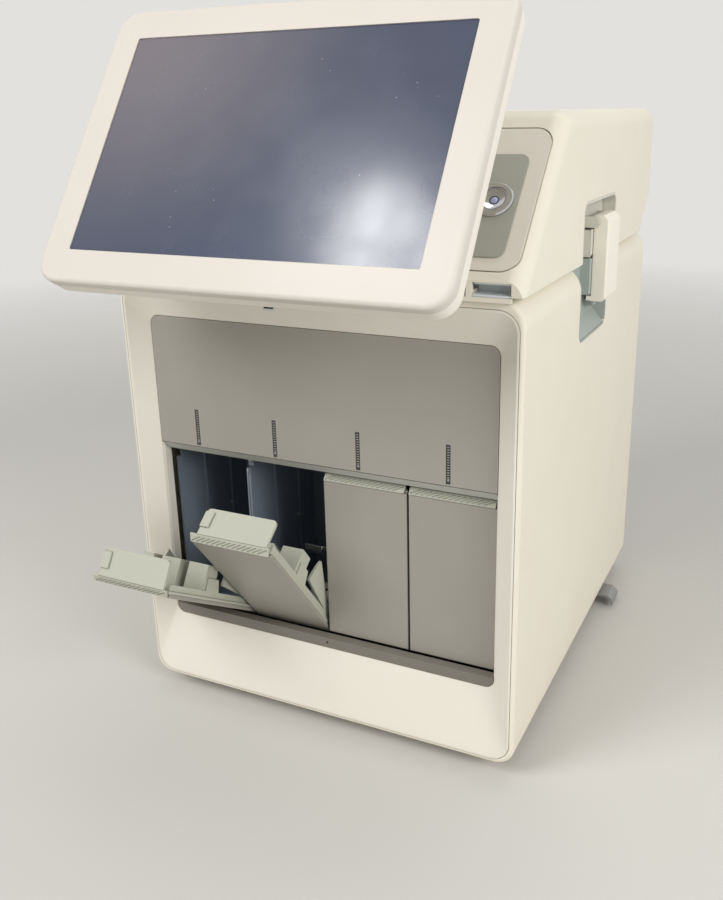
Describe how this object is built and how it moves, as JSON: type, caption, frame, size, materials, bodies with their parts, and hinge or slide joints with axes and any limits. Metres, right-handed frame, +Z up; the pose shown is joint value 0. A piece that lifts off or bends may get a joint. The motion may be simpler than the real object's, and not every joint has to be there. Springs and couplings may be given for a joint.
{
  "type": "real-time pcr system",
  "caption": "Benchtop real-time PCR analyser with tilt-out module doors, a clipped-on wedge-shaped controller and a tilting touch display on an arm.",
  "frame": {"origin": "on the bench, at the centre of the whole object's box seen from above", "axes": "+Z up, -Y towards the user in front of the doors, +X the user's right"},
  "size_m": [0.319, 0.4574, 0.5033],
  "materials": {
    "shell_white": "fine moulded texture",
    "bezel_cream": "fine moulded texture",
    "fascia_grey": "satin moulded",
    "door_grey": "satin moulded",
    "liner_cream": "moulded",
    "bay_black": "polished moulded",
    "status_dark": "clear window over dark",
    "steel_sheet": "plain plated sheet",
    "bright_steel": "bright",
    "drive_white": "machined",
    "motor_black": "satin",
    "block_aluminium": "bead blasted",
    "supply_aluminium": "plain",
    "board_green": "solder mask",
    "fan_black": "moulded",
    "inlet_black": "moulded",
    "foot_rubber": "moulded",
    "tab_grey": "satin paint",
    "rear_grey": "textured paint",
    "panel_pale": "satin moulded",
    "plate_grey": "satin moulded",
    "button_grey": "satin gloss",
    "ring_silver": "plated",
    "slot_blue_grey": "moulded",
    "arm_grey": "painted casting",
    "display_white": "fine moulded texture",
    "screen_glass": "polished",
    "lcd_dark": "unlit",
    "well_grey": "moulded",
    "latch_white": "moulded"
  },
  "bodies": {
    "case": {"outer_shell": "shell_white", "base_plate": "steel_sheet", "rear_panel": "rear_grey", "front_bezel": "bezel_cream", "upper_fascia": "fascia_grey", "sill_strip": "fascia_grey", "status_light_bars": "status_dark", "module_rack": "steel_sheet", "valve_motors": "motor_black", "plunger_motors": "motor_black", "thermal_optics_blocks": "block_aluminium", "cartridge_catches": "bright_steel", "door_hinge_pins": "bright_steel", "power_supply": "supply_aluminium", "gateway_board": "board_green", "exhaust_fan_frame": "fan_black", "fan_guard": "bright_steel", "power_inlet": "inlet_black", "rubber_feet": "foot_rubber", "side_foot_tabs": "tab_grey", "top_housing": "shell_white", "top_base_plate": "fascia_grey", "sloped_front_panel": "panel_pale", "button_plate": "plate_grey", "button_bezel_ring": "ring_silver", "nose_slot_liner": "slot_blue_grey", "computer_board": "board_green", "display_arm": "arm_grey", "display_hinge_pins": "bright_steel", "latch_wells": "well_grey", "case_screws": "bright_steel", "module_bay_1": "bay_black", "module_bay_2": "bay_black", "module_bay_3": "bay_black", "module_bay_4": "bay_black"},
    "door_1": {"door_panel_1": "door_grey", "door_liner_1": "liner_cream"},
    "door_2": {"door_panel_2": "door_grey", "door_liner_2": "liner_cream"},
    "door_3": {"door_panel_3": "door_grey", "door_liner_3": "liner_cream"},
    "door_4": {"door_panel_4": "door_grey", "door_liner_4": "liner_cream"},
    "valve_1": {"valve_drive_1": "drive_white"},
    "valve_2": {"valve_drive_2": "drive_white"},
    "valve_3": {"valve_drive_3": "drive_white"},
    "valve_4": {"valve_drive_4": "drive_white"},
    "plunger_1": {"plunger_rod_1": "bright_steel"},
    "plunger_2": {"plunger_rod_2": "bright_steel"},
    "plunger_3": {"plunger_rod_3": "bright_steel"},
    "plunger_4": {"plunger_rod_4": "bright_steel"},
    "fan": {"fan_rotor": "fan_black"},
    "mains_switch": {"power_switch_rocker": "inlet_black"},
    "button": {"power_button": "button_grey"},
    "display": {"display_back_cover": "display_white", "display_front_frame": "display_white", "touch_glass": "screen_glass", "lcd_panel": "lcd_dark"},
    "latch_right": {"latch_arm_right": "latch_white"},
    "latch_left": {"latch_arm_left": "latch_white"}
  },
  "joints": [
    {"name": "door_1_hinge", "type": "hinge", "parent": "case", "child": "door_1", "pos_m": [-0.0981, -0.11535, 0.078], "axis": [1, 0, 0], "range_deg": [-58, 0]},
    {"name": "door_2_hinge", "type": "hinge", "parent": "case", "child": "door_2", "pos_m": [-0.0327, -0.11535, 0.078], "axis": [1, 0, 0], "range_deg": [-38, 20]},
    {"name": "door_3_hinge", "type": "hinge", "parent": "case", "child": "door_3", "pos_m": [0.0327, -0.11535, 0.078], "axis": [1, 0, 0], "range_deg": [0, 58]},
    {"name": "door_4_hinge", "type": "hinge", "parent": "case", "child": "door_4", "pos_m": [0.0981, -0.11535, 0.078], "axis": [1, 0, 0], "range_deg": [0, 58]},
    {"name": "valve_1_turn", "type": "hinge", "parent": "case", "child": "valve_1", "pos_m": [-0.0981, -0.06735, 0.073], "axis": [0, 0, 1], "continuous": true},
    {"name": "valve_2_turn", "type": "hinge", "parent": "case", "child": "valve_2", "pos_m": [-0.0327, -0.06735, 0.073], "axis": [0, 0, 1], "continuous": true},
    {"name": "valve_3_turn", "type": "hinge", "parent": "case", "child": "valve_3", "pos_m": [0.0327, -0.06735, 0.073], "axis": [0, 0, 1], "continuous": true},
    {"name": "valve_4_turn", "type": "hinge", "parent": "case", "child": "valve_4", "pos_m": [0.0981, -0.06735, 0.073], "axis": [0, 0, 1], "continuous": true},
    {"name": "plunger_1_stroke", "type": "slide", "parent": "case", "child": "plunger_1", "axis": [0, 0, -1], "range_m": [0, 0.038]},
    {"name": "plunger_2_stroke", "type": "slide", "parent": "case", "child": "plunger_2", "axis": [0, 0, -1], "range_m": [0, 0.038]},
    {"name": "plunger_3_stroke", "type": "slide", "parent": "case", "child": "plunger_3", "axis": [0, 0, -1], "range_m": [0, 0.038]},
    {"name": "plunger_4_stroke", "type": "slide", "parent": "case", "child": "plunger_4", "axis": [0, 0, -1], "range_m": [0, 0.038]},
    {"name": "fan_spin", "type": "hinge", "parent": "case", "child": "fan", "pos_m": [-0.062, 0.19915, 0.217], "axis": [0, 1, 0], "continuous": true},
    {"name": "mains_switch_rock", "type": "hinge", "parent": "case", "child": "mains_switch", "pos_m": [0.084, 0.21265, 0.087], "axis": [1, 0, 0], "range_deg": [0, 16]},
    {"name": "power_button_press", "type": "slide", "parent": "case", "child": "button", "axis": [0, 0.7431, -0.6691], "range_m": [0, 0.0025], "stiffness_N_per_m": 400, "springref_m": -0.001},
    {"name": "display_tilt", "type": "hinge", "parent": "case", "child": "display", "pos_m": [0, -0.15197, 0.39662], "axis": [1, 0, 0], "range_deg": [-16, 29]},
    {"name": "latch_right_swing", "type": "hinge", "parent": "case", "child": "latch_right", "pos_m": [0.1475, 0.04755, 0.3608], "axis": [0, -1, 0], "range_deg": [0, 100]},
    {"name": "latch_left_swing", "type": "hinge", "parent": "case", "child": "latch_left", "pos_m": [-0.1475, 0.04755, 0.3608], "axis": [0, 1, 0], "range_deg": [0, 100]}
  ]
}
